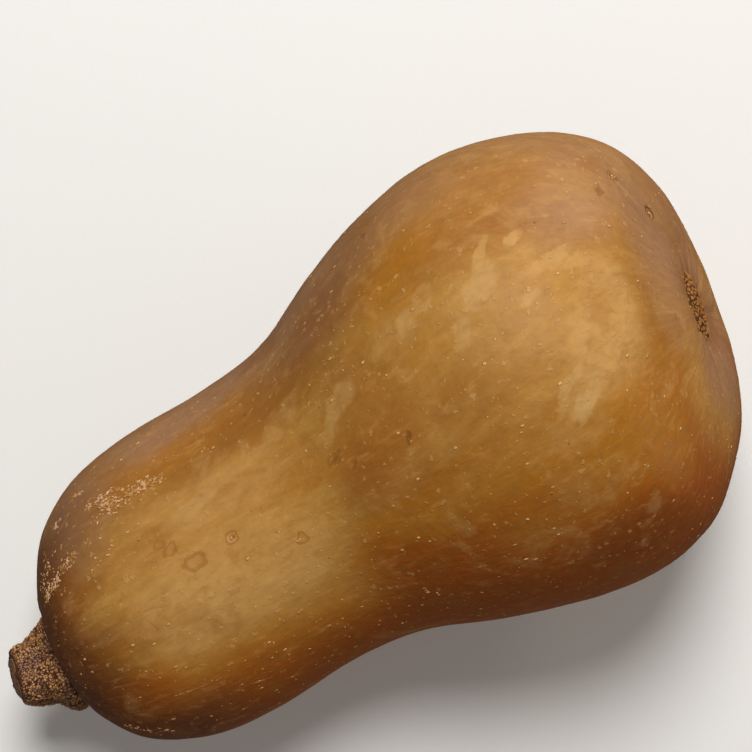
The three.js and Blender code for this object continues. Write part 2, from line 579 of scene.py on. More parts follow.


# Places where the skin's colour changes: centre and radii in mm, turn, colour, share.
# They are laid one over the other, in this order. The deep orange patches on the flank turned from
# the key light and the dark ones at the stem end are painted shade.
PATCHES = [
    ((8, -34, 84), (36, 18, 24), 8, "shaded_amber", 0.85),
    ((84, -26, 78), (26, 24, 30), -20, "tan", 0.75),
    ((-18, 42, 64), (62, 18, 28), 8, "mauve", 0.80),
    ((-20, 24, 80), (52, 9, 15), 3, "orange", 0.90),
    ((28, 36, 99), (20, 11, 16), 20, "gold", 0.75),
    ((-4, 20, 92), (26, 3.5, 9), 10, "tan", 0.22),
    ((12, 36, 88), (30, 17, 20), 20, "brown_and_shade", 0.34),
    ((-40, -10, 80), (44, 20, 18), -8, "tan", 0.80),
    ((-40, -8, 80), (40, 16, 14), -8, "pale", 0.52),
    ((-56, -8, 77), (22, 16, 14), -6, "pale", 0.34),
    ((-1, -5, 95), (17, 11, 11), 20, "orange", 0.85),
    ((8, 10, 99), (28, 22, 14), 20, "orange", 0.60),
    ((8, -2, 98), (24, 16, 14), 10, "shaded_amber", 0.28),
    ((10, 9, 101), (28, 22, 16), 20, "orange", 0.30),
    ((4, 21, 93), (16, 9, 12), 20, "brown_and_shade", 0.20),
    ((46, 6, 114), (27, 26, 12), -20, "tan", 0.70),
    ((62, -4, 112), (17, 20, 12), -20, "pale", 0.50),
    ((56, -22, 109), (16, 12, 13), 30, "gold", 0.90),
    ((40, -18, 104), (24, 10, 14), 10, "gold", 0.55),
    ((70, 26, 101), (24, 16, 18), 0, "mauve", 0.72),
    ((76, 36, 84), (22, 14, 26), -20, "mauve", 0.55),
    ((74, 30, 94), (22, 8, 12), -30, "tan", 0.45),
    ((87, 12, 88), (13, 26, 20), 0, "mauve", 0.85),
    ((84, 20, 92), (14, 22, 16), 0, "brown_and_shade", 0.10),
    ((81, -4, 94), (13, 20, 18), 0, "mauve", 0.52),
    ((54, 38, 99), (32, 14, 18), 10, "gold", 0.30),
    ((34, -54, 32), (84, 36, 32), 0, "tan", 0.62),
    ((-48, -38, 24), (56, 26, 26), 0, "tan", 0.60),
    ((10, -46, 26), (60, 20, 14), 10, "gold", 0.45),
    ((60, -46, 84), (30, 16, 22), -10, "shaded_amber", 0.80),
    ((46, -45, 93), (20, 11, 16), -10, "brown_and_shade", 0.40),
    ((62, -30, 101), (22, 15, 17), -20, "gold", 0.78),
    ((43, -31, 108), (16, 9, 10), -10, "tan", 0.35),
    ((4, -27, 88), (32, 11, 16), -15, "shaded_amber", 0.80),
    ((84, -28, 74), (20, 18, 34), -20, "tan", 0.70),
    ((88, -24, 68), (16, 20, 34), -20, "mauve", 0.85),
    ((94, -2, 56), (14, 30, 26), 0, "mauve", 0.60),
    ((-68, 24, 64), (22, 17, 18), 20, "mauve", 0.80),
    ((-70, 22, 66), (24, 20, 20), 20, "brown_and_shade", 0.38),
    ((-34, 28, 70.5), (44, 8, 11), 2, "gold", 0.62),
    ((-32, 23, 75), (52, 13, 15), 3, "brown_and_shade", 0.16),
    ((-79, 11, 67), (11, 12, 12), 0, "shaded_amber", 0.45),
    ((-75, -19, 66), (18, 10, 14), 0, "shaded_amber", 0.75),
    ((-86, 16, 58), (22, 26, 26), 0, "brown_and_shade", 0.85),
    ((-90, -8, 58), (30, 30, 32), 0, "brown_and_shade", 0.98),
    ((-74, -32, 50), (34, 18, 28), 10, "brown_and_shade", 0.80),
]
# Small blotches, laid over the patches: centre and radii in mm, turn, colour, share.
BLOTCHES = [
    ((41.6, 19.4, 112.2), (6.5, 4, 5), 30, "pale", 0.75),
    ((31, 24.8, 106.9), (4.5, 3, 5), 40, "pale", 0.62),
    ((24.7, 22, 105.5), (5, 3.6, 5), 60, "pale", 0.68),
    ((54.3, 25.3, 110.2), (4, 1.8, 4), 20, "pale", 0.80),
    ((46.8, 26.5, 110.1), (7, 1.8, 4), 45, "pale", 0.65),
    ((46, 23, 110.6), (4, 2.2, 4), 10, "pale", 0.55),
    ((50.6, 11.6, 114.9), (4, 1.6, 4), 0, "pale", 0.75),
    ((33.9, 12.7, 112.3), (5, 2.4, 4), 50, "pale", 0.55),
    # These pale blotches and the palest streaks on the bulb's top are a painted highlight, a soft
    # sheen.
    ((48.9, -13.1, 114.4), (8, 5, 5), 10, "pale", 0.50),
    ((51, -12.6, 114.3), (9, 1.6, 5), 32, "sheen_cream", 0.36),
    ((49, -15.8, 113.6), (7, 1.2, 5), 32, "sheen_cream", 0.34),
    ((47, -9.6, 115), (8, 1.4, 5), 30, "sheen_cream", 0.30),
    ((58.9, -4.3, 113.6), (14, 9, 6), 60, "pale", 0.60),
    ((66.1, 2.4, 110), (16, 11, 8), 50, "pale", 0.62),
    ((60, 17, 112.5), (10, 2.4, 5), 5, "pale", 0.60),
    ((66, 13.5, 110.5), (8, 2, 5), -5, "pale", 0.60),
    ((-11, 19.5, 83), (12, 3.2, 6), 25, "pale", 0.55),
    ((3.5, 15.5, 94.9), (9, 3.2, 6), 25, "pale", 0.55),
    ((-4, 10, 92), (10, 2.4, 5), 32, "pale", 0.50),
    ((12, -4, 103), (4, 2.4, 4), 0, "pale", 0.35),
    ((-40, 13, 79), (10, 2.4, 5), 8, "pale", 0.45),
    ((-52, -12, 76), (14, 6, 6), -10, "pale", 0.40),
    ((28.3, 47.7, 83.9), (1.6, 0.9, 2), 60, "brown_and_shade", 0.75),
    ((12.4, -0.5, 103.6), (1.7, 0.8, 2), 70, "brown_and_shade", 0.60),
    ((-4.6, 4.4, 91.7), (3.2, 0.9, 2), 20, "brown_and_shade", 0.42),
    ((-1, 1.5, 93.6), (2.4, 0.8, 2), 50, "brown_and_shade", 0.36),
    ((90.8, 17, 82), (2.7, 2.5, 2.7), 0, "brown_and_shade", 0.88),
    ((86.2, 28.7, 89.3), (3.0, 1.6, 2), 30, "brown_and_shade", 0.66),
    ((80.3, 26.3, 96.6), (2.6, 1.3, 2), 30, "brown_and_shade", 0.50),
    ((22, -28, 92), (1.8, 0.8, 2), 10, "brown_and_shade", 0.35),
    ((-36, 12, 80), (1.1, 0.7, 1.2), 0, "brown_and_shade", 0.60),
    ((70, 40, 60), (2.2, 1.2, 2), 0, "brown_and_shade", 0.50),
]
# Healed ring stains: centre and radii in mm, turn.
STAINS = [
    ((-45.2, 1.5, 79.7), (3.6, 2.3, 2.5), 0), ((-49.0, 7.2, 78.9), (2.4, 1.8, 2.2), 30),
    ((-50.5, 9.5, 78), (1.6, 1.3, 1.6), 0), ((-20.5, -6.8, 83.1), (2.2, 1.5, 2), 20),
    ((-5, 4.7, 91.4), (2.6, 1.6, 2.4), 0), ((-34.7, 2, 80.8), (2.0, 1.6, 2), 0),
    ((30, -46, 60), (2.8, 2.0, 3), 0), ((-30, -36, 40), (2.4, 2.0, 3), 0),
]


def skin_ground(r, colours, patterns, sine):
    """Base colour of the skin: broad bands, painted shade on the flank turned from the key light,
    and a greyer tone on the other flank.
    """
    tan, orange, gold, pale = colours.tan, colours.orange, colours.gold, colours.pale
    broad, bands = patterns["broad"], patterns["bands"]
    base = r.blend(r.window(broad, 0.38, 0.66), tan, orange)
    base = r.blend(r.times(r.window(bands, 0.44, 0.66), 0.45), base, gold)
    base = r.blend(r.times(r.window(bands, 0.46, 0.28), 0.30), base, pale)

    # Painted shade: the flank turned from the key light goes gold, then deep orange-brown. The
    # flank toward the light goes a greyer mauve, partly the skin's waxy grey and partly a painted
    # reflection.
    drift = r.math("SUBTRACT", broad, 0.5)
    shaded_flank = r.plus(sine, r.times(drift, 0.7))
    base = r.blend(r.times(r.window(shaded_flank, 0.16, 0.52), 0.85), base, gold)
    base = r.blend(r.times(r.window(shaded_flank, 0.36, 0.80), 0.92), base, colours.shaded_amber)
    right = r.math("SUBTRACT", r.times(drift, 0.5), sine)
    return r.blend(r.times(r.window(right, 0.45, 0.90), 0.55), base, colours.mauve)


def skin_patches(r, colours, patterns, place, warped, base):
    """Lays the patches, with drawn-out edges, and the blotches, with torn ones, over the base."""
    for centre, radii, yaw, name, most in PATCHES:
        here = r.times(r.patch(warped, centre, radii, yaw), most)
        base = r.blend(here, base, getattr(colours, name))
    ragged = r.window(patterns["mottle"], 0.34, 0.54, 0.35, 1.0)
    torn = r.shaken(place, 260.0, 0.0045)
    for centre, radii, yaw, name, most in BLOTCHES:
        here = r.window(r.reach(torn, centre, radii, yaw), 0.0, 0.45)
        here = r.times(r.times(here, ragged), most)
        base = r.blend(here, base, getattr(colours, name))
    return base


def skin_mottle(r, colours, patterns, base):
    """Waxy dabs, faint streaks and mottling, paler and deeper than the base."""
    dabs, streaks, mottle = patterns["dabs"], patterns["streaks"], patterns["mottle"]
    for mask, most, tone in (
        (r.window(dabs, 0.54, 0.74), 0.30, colours.pale),
        (r.window(dabs, 0.46, 0.28), 0.30, colours.orange),
        (r.window(streaks, 0.58, 0.76), 0.17, colours.pale),
        (r.window(mottle, 0.54, 0.70), 0.36, colours.pale),
        (r.window(mottle, 0.46, 0.30), 0.44, colours.orange),
    ):
        base = r.blend(r.times(mask, most), base, tone)
    grey = r.plus(r.times(dabs, 0.5), r.times(patterns["fine"], 0.5))
    grey = r.window(grey, 0.3, 0.7, 0.91, 1.07)
    grey = r.put("ShaderNodeCombineXYZ", {"X": grey, "Y": grey, "Z": grey}).outputs[0]
    return r.blend(1.0, base, grey, "MULTIPLY")


def skin_marks(r, colours, place, base):
    """Ring stains, pale flecks in clusters and dark pin-pricks; hands back the flecks too."""
    ragged = r.shaken(place, 420.0, 0.0030)
    for centre, radii, yaw in STAINS:
        middle = r.times(r.patch(ragged, centre, radii, yaw), 0.35)
        stain = r.plus(r.ring(ragged, centre, radii, yaw), middle)
        base = r.blend(r.times(stain, 0.52), base, colours.stain)

    crowd = r.window(r.noise(place, 46.0, 3), 0.34, 0.56, 0.32, 1.0)
    torn = r.shaken(place, 800.0, 0.0026)
    fleck = r.math("MAXIMUM", r.dots(torn, 300.0, 0.27, 0.75), r.dots(torn, 480.0, 0.30, 0.75))
    fleck = r.times(fleck, crowd)
    base = r.blend(r.times(fleck, 0.64), base, colours.pale)

    near, _, chance = r.cells(place, 150.0)
    prick = r.times(r.window(near, 0.062, 0.03), r.math("GREATER_THAN", chance, 0.80))
    return r.blend(r.times(prick, 0.6), base, colours.brown_and_shade), fleck


def skin_material(colours):
    """The rind's finish. Bands and streaks follow its UV map, everything else its place."""
    r = Recipe("squash_skin")
    place = r.object_place()
    uv = r.put("ShaderNodeUVMap", {}, uv_map="OFBake").outputs[0]
    uv = r.put("ShaderNodeSeparateXYZ", {"Vector": uv})
    turn = r.times(uv.outputs[0], math.tau)
    sine, cosine = r.math("SINE", turn), r.math("COSINE", turn)

    def along_skin(stretch):
        inputs = {"X": cosine, "Y": sine, "Z": r.times(uv.outputs[1], stretch)}
        return r.put("ShaderNodeCombineXYZ", inputs).outputs[0]

    patterns = {
        "broad": r.noise(along_skin(1.8), 2.4, 3, 0.55, 0.4),
        "bands": r.noise(along_skin(1.2), 6.0, 3, 0.6, 0.5),
        "dabs": r.noise(along_skin(2.2), 17.0, 4, 0.62, 0.7),
        "streaks": r.noise(along_skin(0.9), 34.0, 3, 0.6, 0.3),
        "mottle": r.noise(place, 70.0, 5, 0.62, 0.5),
        "fine": r.noise(place, 520.0, 3, 0.6),
    }
    dabs, streaks, mottle = patterns["dabs"], patterns["streaks"], patterns["mottle"]
    warped = r.shaken(place, 48.0, 0.014)
    base = skin_ground(r, colours, patterns, sine)
    base = skin_patches(r, colours, patterns, place, warped, base)
    base = skin_mottle(r, colours, patterns, base)
    base, fleck = skin_marks(r, colours, place, base)

    # Painted shade darkens the skin beside the stem; the skin around the blossom scar is darker
    # too.
    for middle, radii, most in (
        (SOCKET, (26, 30, 30), 0.90),
        (DIMPLE, (13, 15, 15), 0.60),
    ):
        here = r.patch(warped, middle / MM, radii)
        here = r.times(here, r.window(streaks, 0.25, 0.75, 0.6, 1.0))
        base = r.blend(r.times(here, most), base, colours.brown_and_shade)

    rough = r.plus(r.times(mottle, 0.6), r.times(dabs, 0.4))
    rough = r.window(rough, 0.3, 0.7, 0.46, 0.62)
    waves = r.plus(r.times(streaks, 0.4), r.times(mottle, 0.6))
    grit = r.plus(patterns["fine"], r.times(fleck, 0.8))
    normal = r.bump(grit, 0.00022, 0.5, r.bump(waves, 0.0008, 0.30))
    return r.surface(base, rough, normal, **{"Specular IOR Level": 0.25})


def grain_material(name, main, other, rough, size):
    """Finish of small strewn pieces: each differs a little from its neighbours."""
    r = Recipe(name)
    place = r.object_place()
    _, pick, _ = r.cells(place, 1.0 / size)
    fine = r.noise(place, 2200.0, 2)
    base = r.blend(r.window(pick, 0.15, 0.85), main, other)
    base = r.blend(r.times(r.window(fine, 0.5, 0.7), 0.4), base, other)
    return r.surface(base, r.window(fine, 0.3, 0.7, *rough), r.bump(fine, 0.0001, 0.4))


def net_material(colours):
    """The blossom scar's finish: cork islands in a dark net, as its relief has them."""
    r = Recipe("squash_blossom_scar")
    place = r.object_place()
    island = r.put("ShaderNodeAttribute", {}, attribute_name="island").outputs["Fac"]
    fine = r.noise(place, 1900.0, 3)
    broad = r.noise(place, 260.0, 2)
    gold = r.blend(r.window(broad, 0.38, 0.62), colours.scar_gold, colours.orange)
    gold = r.blend(r.times(r.window(fine, 0.50, 0.7), 0.35), gold, colours.brown_and_shade)
    base = r.blend(r.window(island, 0.20, 0.48), colours.scar_dark, gold)
    rough, normal = r.window(fine, 0.3, 0.7, 0.62, 0.85), r.bump(fine, 0.00025, 0.6)
    return r.surface(base, rough, normal, **{"Specular IOR Level": 0.2})


def cork_material(name, colours, top):
    """The stem's finish: pale grains on a dark ground, as its relief has them."""
    r = Recipe(name)
    ground = colours.stem_dark
    place = r.object_place()
    grain = r.put("ShaderNodeAttribute", {}, attribute_name="grain").outputs["Fac"]
    fine = r.noise(place, 2400.0, 3)
    broad = r.noise(place, 210.0, 3, 0.6)
    patchy = r.blend(r.window(broad, 0.35, 0.65), top, colours.stem_cut)
    patchy = r.blend(r.times(r.window(fine, 0.5, 0.72), 0.5), patchy, ground)
    level = r.times(grain, r.window(broad, 0.3, 0.6, 0.85, 1.15))
    base = r.blend(r.window(level, 0.12, 0.72), ground, patchy)
    return r.surface(base, r.window(fine, 0.3, 0.7, 0.24, 0.42), r.bump(fine, 0.0002, 0.5))


# ---- pieces ---------------------------------------------------------------------------

# Shallow pits in the skin: place in mm, radius in mm, share of the full depth.
PITS = [
    ((-34.7, 2, 80.8), 1.8, 0.8), ((-24.8, -2.8, 82.5), 1.5, 0.7), ((-45.2, 1.5, 79.7), 2.6, 0.6),
    ((-48.5, 6.5, 79), 2.2, 0.6), ((-20.5, -6.8, 83.1), 1.2, 0.5), ((-5, 4.7, 91.4), 1.4, 0.7),
    ((90.8, 17, 82), 2.6, 0.9), ((86.2, 28.7, 89.3), 2.0, 0.7), ((80.3, 26.3, 96.6), 1.8, 0.7),
    ((28, 47.6, 83.8), 1.3, 0.8), ((20, -40, 40), 2.2, 0.7), ((60, -50, 60), 1.8, 0.6),
    ((-30, -36, 30), 1.8, 0.7), ((40, 56, 50), 2.4, 0.7), ((-60, 34, 30), 2.0, 0.6),
]


# Radial folds at both ends: their number, the distances from the axis between which they run,
# and a number that sets where around it they stand.
BLOSSOM_FOLDS = (10, 0.009, 0.026, 0.6)
STEM_FOLDS = (9, 0.014, 0.036, 1.1)
# Widths of the skin's broad lumps and small ripples.
LUMP_WIDTH = 0.036
RIPPLE_WIDTH = 0.007


def fading_from(middle, near, far):
    """Full share up to near from the middle, none beyond far."""
    return lambda point: 1 - ease(near, far, (point - middle).length)


def around_axis(point, foot, out):
    """Distance from an axis and the angle around it."""
    arm = point - foot
    arm -= out * arm.dot(out)
    x = UP - out * out.z
    x.normalize()
    return arm.length, math.atan2(arm.dot(out.cross(x)), arm.dot(x))


def folds(foot, out, number, near, far, phase):
    """Share of depth of radial folds around an axis, from near it to far from it."""

    def share_at(point):
        if (point - foot).length > far * 1.5:
            return 0.0
        reach, angle = around_axis(point, foot, out)
        wander = noise.noise(point * 75.0) * 2.6
        deep = 0.45 + 0.9 * noise.noise(Vector((math.cos(angle), math.sin(angle), phase)) * 1.7)
        wave = max(math.cos(number * angle + phase + wander), 0.0) ** 2 * max(deep, 0.0)
        return wave * ease(near * 0.5, near, reach) * (1 - ease(near, far, reach))

    return share_at


class SQUASH_OT_skin(bpy.types.Operator):
    """Grow the skin over the whole fruit"""

    bl_idname = "squash.skin"
    bl_label = "Skin"

    def execute(self, context):
        sizes, colours = context.scene.squash_sizes, context.scene.squash_colours
        skin = wrapped_ball(
            "skin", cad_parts["fruit"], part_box("fruit"),
            sizes.skin_around, fruit_rings(sizes.skin_rings),
        )
        lumps(skin, "lumps", LUMP_WIDTH, 1, sizes.lump_height)
        lumps(skin, "ripples", RIPPLE_WIDTH, 2, sizes.ripple_height)
        deep = -sizes.pucker_depth
        relief(skin, "hollow", -sizes.hollow_depth, fading_from(HOLLOW, *HOLLOW_FADE))
        relief(skin, "brow", sizes.brow_height, fading_from(BROW, *BROW_FADE))
        relief(skin, "blossom_folds", deep, folds(DIMPLE, DIMPLE_OUT, *BLOSSOM_FOLDS))
        relief(skin, "stem_folds", deep, folds(SOCKET, SOCKET_OUT, *STEM_FOLDS))
        pits = []
        for place, radius, share in PITS:
            place, size = on_skin(skin, Vector(place) * MM)[0], radius * MM
            pits.append((share, fading_from(place, 0.3 * size, size)))
        relief(skin, "pits", deep * 0.5, lambda point: max(s * fade(point) for s, fade in pits))
        rest_flat(skin)
        finish_piece(skin, skin_material(colours), "fruit_skin", "fruit")
        return {"FINISHED"}


# The blossom scar's disc: its size each way as a share of its width, how far it stands out of
# the skin, and the height of its net.
SCAR_SHAPE = (1.0, 0.93, 0.085)
SCAR_OUT = 0.0001
SCAR_NET_HEIGHT = 0.00042


class SQUASH_OT_blossom_scar(bpy.types.Operator):
    """Set the net-like corky scar in the dimple at the blossom end"""

    bl_idname = "squash.blossom_scar"
    bl_label = "Blossom scar"

    def execute(self, context):
        sizes, colours = context.scene.squash_sizes, context.scene.squash_colours
        place, _ = on_skin(bpy.data.objects["skin"], DIMPLE)
        edge = sizes.scar_width / 2
        pick_nothing()
        bpy.ops.mesh.primitive_ico_sphere_add(subdivisions=7, radius=edge)
        scar = named("blossom_scar")
        scar.scale = SCAR_SHAPE
        settle(scar)
        turn = facing(DIMPLE_OUT, UP)
        scar.matrix_world = Matrix.Translation(place + DIMPLE_OUT * SCAR_OUT) @ turn
        settle(scar)

        def island(point):
            depth = cell_depth(point, sizes.scar_cell, 700, Vector((9, 4, 7)), 0.0002)
            return min(depth * 1.7, 1.0)

        def raised(point):
            rim = 1 - ease(0.75 * edge, edge, (point - place).length)
            return island(point) * (0.35 + 0.65 * rim)

        mark_points(scar, "island", island)
        relief(scar, "net", SCAR_NET_HEIGHT, raised)
        finish_piece(scar, net_material(colours), "fruit_skin")
        return {"FINISHED"}


# Specks stay this high over the surface below, and this far from the blossom scar and the stem.
SPECK_HEIGHT = 0.003
SPECK_FROM_SCAR = 0.011
SPECK_FROM_STEM = 0.020
SPECK_LENGTHS = (0.5, 0.6, 0.7, 0.8, 1.0, 1.5)
SPECK_SPANS = ((0.9, 1.6), (0.6, 0.9), (0.20, 0.34))
SPECK_SEED = 11


def speck_free(place):
    """Whether a place is too low, or too near the blossom scar or the stem, for a speck."""
    return (
        place.z < SPECK_HEIGHT
        or (place - DIMPLE).length < SPECK_FROM_SCAR
        or (place - SOCKET).length < SPECK_FROM_STEM
    )


class SQUASH_OT_specks(bpy.types.Operator):
    """Strew the raised pale specks over the skin"""

    bl_idname = "squash.specks"
    bl_label = "Specks"

    def execute(self, context):
        sizes, colours = context.scene.squash_sizes, context.scene.squash_colours
        skin = bpy.data.objects["skin"]
        rng = random.Random(SPECK_SEED)
        faces = skin.data.polygons
        areas = [face.area for face in faces]
        spots = []
        while len(spots) < sizes.speck_count:
            for index in rng.choices(range(len(faces)), weights=areas, k=400):
                place, out = faces[index].center.copy(), faces[index].normal.copy()
                crowd = 0.45 + 0.8 * noise.noise(place * 42.0)
                if crowd <= rng.random() or speck_free(place):
                    continue
                share = (place.x - SOCKET.x) / (CORE_LENGTH * MM)
                ahead = core_ahead(min(max(share, 0.0), 1.0))
                long = sizes.speck_length * rng.choice(SPECK_LENGTHS)
                spots.append((place, facing(out, ahead), uneven(rng, long, *SPECK_SPANS)))
        material = grain_material("squash_specks", colours.speck, colours.tan, (0.4, 0.6), 0.0015)
        strew("specks", speck_ball(8, 5), spots[: sizes.speck_count], material)
        return {"FINISHED"}


# Russet bands: both ends in mm, spread in mm, number of grains.
RUSSET_BANDS = [
    ((-60, 24.5, 69), (-43.5, 24, 72.6), 1.3, 110),
    ((-52, 24.2, 70.8), (-42.5, 23.6, 72.8), 0.8, 70),
    ((-59, 25.5, 68.5), (-54, 25, 69.6), 0.8, 40),
    ((-62.5, 27.5, 65.5), (-54.5, 27, 67.5), 0.6, 34),
    ((-65.2, 32.4, 58.1), (-62.5, 31.8, 60.5), 0.5, 20),
    ((-73.5, 28.3, 56.6), (-72, 28.2, 59), 0.6, 26),
    ((-83.9, 12.5, 60.5), (-70, 19.3, 69.4), 0.8, 130),
    ((-82, 17.5, 59), (-76.5, 19.5, 63.5), 1.6, 34),
    ((-62, 17, 73), (-50, 13, 77), 4.0, 16),
    ((-80, -24, 30), (-62, -34, 26), 1.6, 46),
    ((-78, 20, 18), (-60, 26, 10), 1.6, 40),
    ((-82, -20, 52), (-72, -27, 52), 1.2, 30),
]
GRAIN_LENGTHS = (0.5, 0.7, 0.9, 1.2)
GRAIN_SPANS = ((1.0, 2.0), (0.5, 0.8), (0.35, 0.6))
GRAIN_SEED = 23


class SQUASH_OT_russet(bpy.types.Operator):
    """Lay the bands of coppery cork grains around the stem end"""

    bl_idname = "squash.russet"
    bl_label = "Russet bands"

    def execute(self, context):
        sizes, colours = context.scene.squash_sizes, context.scene.squash_colours
        skin = bpy.data.objects["skin"]
        rng = random.Random(GRAIN_SEED)
        spots = []
        for start, end, spread, number in RUSSET_BANDS:
            start, end = Vector(start) * MM, Vector(end) * MM
            run = (end - start).normalized()
            for _ in range(number):
                aside = scatter(rng, spread * MM)
                place, out = on_skin(skin, start.lerp(end, rng.random()) + aside)
                long = sizes.grain_length * rng.choice(GRAIN_LENGTHS)
                scale = uneven(rng, long, *GRAIN_SPANS)
                turn = facing(out, run) @ Matrix.Rotation(rng.gauss(0, 0.5), 4, "Z")
                spots.append((place, turn, scale))
        copper, tan = colours.russet, colours.tan
        material = grain_material("squash_russet", copper, tan, (0.38, 0.55), 0.0012)
        strew("russet_grains", speck_ball(7, 5), spots, material)
        return {"FINISHED"}


# Healed rings: place in mm, half length and half width in mm.
POCKS = [
    ((-34.7, 2, 80.8), 1.2, 1.0), ((-24.8, -2.8, 82.5), 1.0, 0.9), ((90.8, 17, 82), 1.3, 1.1),
    ((86.2, 28.7, 89.3), 1.6, 0.8), ((20, -40, 40), 1.5, 1.1), ((-60, 34, 30), 1.4, 1.0),
    ((40, 56, 50), 1.7, 1.2),
]
# Dry scratches: both ends in mm.
SCRATCHES = [
    ((-78.0, 24.2, 56.6), (-78.3, 21.6, 60.8)), ((-50.0, -30.3, 64.6), (-44.5, -31.6, 63.6)),
    ((-61.9, -4.9, 76.6), (-61.0, -7.6, 76.0)), ((-66, -22, 66), (-59, -23, 66.5)),
    ((30, -52, 66), (36, -53, 70)), ((10, 42, 50), (18, 46, 48)),
]


KNOTS_IN_RING = 6
BEADS_IN_SCRATCH = 9
BLEMISH_SEED = 5


def rough_ring():
    """A low ring, one unit in radius, with an uneven edge."""
    pick_nothing()
    bpy.ops.mesh.primitive_torus_add(
        major_segments=28, minor_segments=8, major_radius=1.0, minor_radius=0.24
    )
    ring = named("ring")
    bpy.ops.object.mode_set(mode="EDIT")
    bpy.ops.mesh.select_all(action="SELECT")
    bpy.ops.transform.vertex_random(offset=0.10, uniform=0.0, normal=0.4, seed=4)
    bpy.ops.transform.resize(value=(1, 1, 0.7))
    bpy.ops.object.mode_set(mode="OBJECT")
    finish_with(ring, "SUBSURF", levels=1, render_levels=1)
    return ring


class SQUASH_OT_blemishes(bpy.types.Operator):
    """Model the healed rings, the knots in them and the dry scratches"""

    bl_idname = "squash.blemishes"
    bl_label = "Blemishes"

    def execute(self, context):
        colours = context.scene.squash_colours
        pale, orange = colours.pale, colours.orange
        skin = bpy.data.objects["skin"]
        spots = []
        for place, long, wide in POCKS:
            place, out = on_skin(skin, Vector(place) * MM)
            turn = facing(out, Vector((1, 0.2, 0.2)))
            spots.append((place, turn, (long * MM, wide * MM, 0.0008)))
        material = grain_material("squash_rims", orange, pale, (0.45, 0.6), 0.002)
        strew("healed_rims", rough_ring(), spots, material)

        rng = random.Random(BLEMISH_SEED)
        spots = []
        for place, long, _ in POCKS:
            middle, _ = on_skin(skin, Vector(place) * MM)
            for _ in range(KNOTS_IN_RING):
                spot, out = on_skin(skin, middle + scatter(rng, 0.3 * long * MM))
                size = rng.uniform(0.4, 0.8) * MM
                turn = facing(out, Vector((1, 0, 0.3)))
                spots.append((spot, turn, (size, size * 0.8, size * 0.6)))
        material = grain_material("squash_knots", colours.speck, orange, (0.5, 0.7), 0.0009)
        strew("healed_knots", speck_ball(10, 7), spots, material)

        spots = []
        for start, end in SCRATCHES:
            start, end = Vector(start) * MM, Vector(end) * MM
            run = (end - start).normalized()
            for k in range(BEADS_IN_SCRATCH):
                share = (k + rng.uniform(0.2, 0.8)) / BEADS_IN_SCRATCH
                spot, out = on_skin(skin, start.lerp(end, share))
                long = (end - start).length / BEADS_IN_SCRATCH * rng.uniform(1.0, 1.7)
                scale = (long, rng.uniform(0.16, 0.26) * MM, 0.00016)
                spots.append((spot, facing(out, run), scale))
        material = grain_material("squash_scratches", pale, orange, (0.5, 0.7), 0.002)
        strew("scratches", speck_ball(8, 5), spots, material)
        return {"FINISHED"}


# Width and height of the stem's knobs.
KNOB_WIDTH = 0.0045
KNOB_HEIGHT = 0.0022
# Half sizes of the stem's cut face, and the height of its rings.
CUT_SHAPE = (0.0054, 0.0050, 0.0007, 1)
PITH_HEIGHT = 0.00022


class SQUASH_OT_stem(bpy.types.Operator):
    """Build the corky stem stub and its dried cut face"""

    bl_idname = "squash.stem"
    bl_label = "Stem"

    def execute(self, context):
        sizes, colours = context.scene.squash_sizes, context.scene.squash_colours
        rings = stem_rings(STEM_RINGS)
        stem = wrapped_ball(
            "stem_stub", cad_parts["stem"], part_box("stem"), STEM_AROUND, rings
        )
        lumps(stem, "knobs", KNOB_WIDTH, 2, KNOB_HEIGHT)
        end, end_out, _ = rings[-1]

        def grain(point):
            depth = cell_depth(point, sizes.stem_grain, 900, Vector((5, 1, 8)), 0.0004)
            tall = 0.95 + 0.5 * noise.noise(point * 520)
            flat = 0.75 * ease(-0.0012, 0.0002, (point - end).dot(end_out))
            return ease(0.02, 0.45, depth) * max(tall, 0.2) * (1 - flat)

        mark_points(stem, "grain", grain)
        relief(stem, "grains", sizes.stem_grain_height, grain)
        material = cork_material("squash_stem", colours, colours.stem_grain)
        finish_piece(stem, material, "stem_cork", "stem")

        pick_nothing()
        bpy.ops.mesh.primitive_ico_sphere_add(subdivisions=6, radius=1.0)
        face = named("stem_cut")
        turn = facing(end_out, UP)
        face.matrix_world = Matrix.Translation(end) @ turn @ Matrix.Diagonal(CUT_SHAPE)
        settle(face)

        def pith(point):
            reach, angle = around_axis(point, end, end_out)
            rings_out = 0.5 + 0.5 * math.cos(reach * 5200 + 1.5 * math.cos(3 * angle))
            return rings_out * 0.6 + 0.4 * (0.5 + 0.5 * noise.noise(point * 1500))

        mark_points(face, "grain", pith)
        relief(face, "pith", PITH_HEIGHT, pith)
        material = cork_material("squash_stem_cut", colours, colours.stem_cut)
        finish_piece(face, material, "stem_cork")
        return {"FINISHED"}


# ---- stage ----------------------------------------------------------------------------

AIM = Vector((0.0159, 0.0201, 0.0495))
CAMERA_AWAY = 0.455
CAMERA_AZIMUTH = -31.0
CAMERA_ELEVATION = 84.0
CAMERA_LENS = 85
CAMERA_SENSOR = 36
# The floor's edge sweeps up into a low wall: in how many steps, and how far each may widen and
# lift it.
WALL_STEPS = 8
WALL_WIDEN = 0.10
WALL_LIFT = 0.24
WORLD_COLOUR = (0.88, 0.82, 0.76, 1.0)
WORLD_STRENGTH = 0.12

# Soft lights: name, the way to it, distance, size, power in watts, colour.
LIGHTS = [
    ("key", (0.515 * 0.42, 0.857 * 0.42, 0.90), 1.0, 0.45, 8.5, (1.0, 0.98, 0.94)),
    ("warm_rim", (0.90, 0.42, 0.10), 0.9, 0.22, 1.9, (1.0, 0.84, 0.60)),
    ("cool_side", (0.80, -0.60, 0.10), 1.0, 0.5, 1.2, (0.86, 0.82, 0.95)),
    ("front_fill", (-0.40, -0.80, 0.25), 1.3, 0.9, 1.25, (1.0, 0.80, 0.58)),
]


